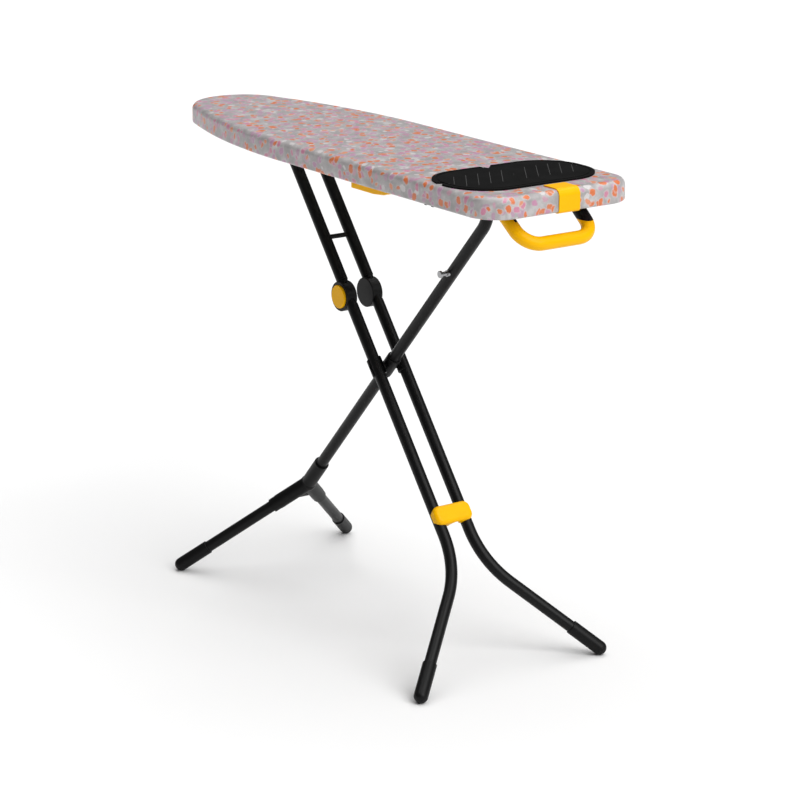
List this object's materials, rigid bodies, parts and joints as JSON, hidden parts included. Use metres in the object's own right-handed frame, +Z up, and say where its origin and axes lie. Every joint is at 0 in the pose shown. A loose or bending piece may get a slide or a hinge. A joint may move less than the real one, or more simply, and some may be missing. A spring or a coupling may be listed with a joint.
{
  "type": "ironing board",
  "caption": "Folding ironing board: padded table with printed cover, iron rest mat, elbow-hinged twin leg, Y-footed cross leg, squeeze release and carry handle.",
  "frame": {"origin": "bottom centre of the bounding box, on the floor", "axes": "+X runs along the table towards the heel, +Y to the far side, +Z up"},
  "size_m": [1.116, 0.4262, 0.915],
  "materials": {
    "cover_fabric": "printed satin cotton, grey with small orange, coral, pink and lilac dabs",
    "pad_foam": "soft foam felt",
    "deck_paint": "grey powder coat",
    "bracket_paint": "black powder coat",
    "leg_paint": "matt black powder coat",
    "black_plastic": "matt moulded",
    "yellow_plastic": "smooth satin moulded",
    "mat_silicone": "matt silicone",
    "plain_steel": "zinc plated",
    "bright_chrome": "polished"
  },
  "bodies": {
    "board": {"fabric_cover": "cover_fabric", "foam_pad": "pad_foam", "deck_sheet": "deck_paint", "deck_rim": "deck_paint", "front_axle": "plain_steel", "fold_catch": "bracket_paint", "lever_hanger_outer": "black_plastic", "lever_hanger_inner": "black_plastic", "lever_spring": "plain_steel", "heel_tab": "yellow_plastic", "iron_mat": "mat_silicone", "handle_core": "black_plastic", "handle_grip": "yellow_plastic", "handle_screws": "plain_steel", "deck_rivets": "plain_steel", "front_bracket_near": "bracket_paint", "front_bracket_far": "bracket_paint", "guide_rail_near": "bracket_paint", "guide_rail_far": "bracket_paint"},
    "release": {"release_lever": "yellow_plastic", "lever_shaft": "plain_steel", "rack_bar": "bracket_paint"},
    "upper_leg": {"upper_tube_near": "leg_paint", "upper_tube_far": "leg_paint", "top_plug_near": "black_plastic", "top_plug_far": "black_plastic", "elbow_housing_near": "black_plastic", "elbow_housing_far": "black_plastic", "elbow_pin_near": "plain_steel", "elbow_pin_far": "plain_steel", "button_spring_near": "plain_steel", "button_spring_far": "plain_steel", "brace_rod": "leg_paint"},
    "button_near": {"elbow_button_near": "yellow_plastic"},
    "button_far": {"elbow_button_far": "yellow_plastic"},
    "lower_leg": {"lower_tube_near": "leg_paint", "lower_tube_far": "leg_paint", "elbow_tongue_near": "black_plastic", "elbow_tongue_far": "black_plastic", "pivot_saddle_near": "black_plastic", "pivot_saddle_far": "black_plastic", "twin_foot_near": "black_plastic", "twin_foot_far": "black_plastic", "cross_bolt": "black_plastic", "leg_clip": "yellow_plastic"},
    "cross_leg": {"rear_tube": "leg_paint", "rear_top_plug": "black_plastic", "rear_axle": "plain_steel", "pivot_block": "black_plastic", "y_hub": "black_plastic", "latch_stud": "bright_chrome", "axle_roller_near": "black_plastic", "axle_roller_far": "black_plastic", "rear_foot_tube_near": "leg_paint", "rear_foot_tube_far": "leg_paint", "rear_foot_near": "black_plastic", "rear_foot_far": "black_plastic"}
  },
  "joints": [
    {"name": "front_pivot", "type": "hinge", "parent": "board", "child": "upper_leg", "pos_m": [-0.24598, 0, 0.858], "axis": [0, -1, 0], "range_deg": [0, 51.45]},
    {"name": "elbow_fold", "type": "hinge", "parent": "upper_leg", "child": "lower_leg", "pos_m": [-0.06317, 0, 0.60776], "axis": [0, 1, 0], "range_deg": [0, 180]},
    {"name": "cross_pivot", "type": "hinge", "parent": "lower_leg", "child": "cross_leg", "pos_m": [0.0436, 0, 0.49465], "axis": [0, -1, 0], "range_deg": [0, 81.2]},
    {"name": "release_squeeze", "type": "hinge", "parent": "board", "child": "release", "pos_m": [0.134, 0, 0.865], "axis": [0, -1, 0], "range_deg": [0, 2.5], "stiffness_Nm_per_rad": 8},
    {"name": "button_press_near", "type": "slide", "parent": "upper_leg", "child": "button_near", "axis": [0, 1, 0], "range_m": [0, 0.003], "stiffness_N_per_m": 400},
    {"name": "button_press_far", "type": "slide", "parent": "upper_leg", "child": "button_far", "axis": [0, -1, 0], "range_m": [0, 0.003], "stiffness_N_per_m": 400}
  ],
  "couplings": [
    {"joint": "front_pivot", "follows": "elbow_fold", "ratio": 0.28581},
    {"joint": "cross_pivot", "follows": "elbow_fold", "ratio": 0.45111}
  ]
}
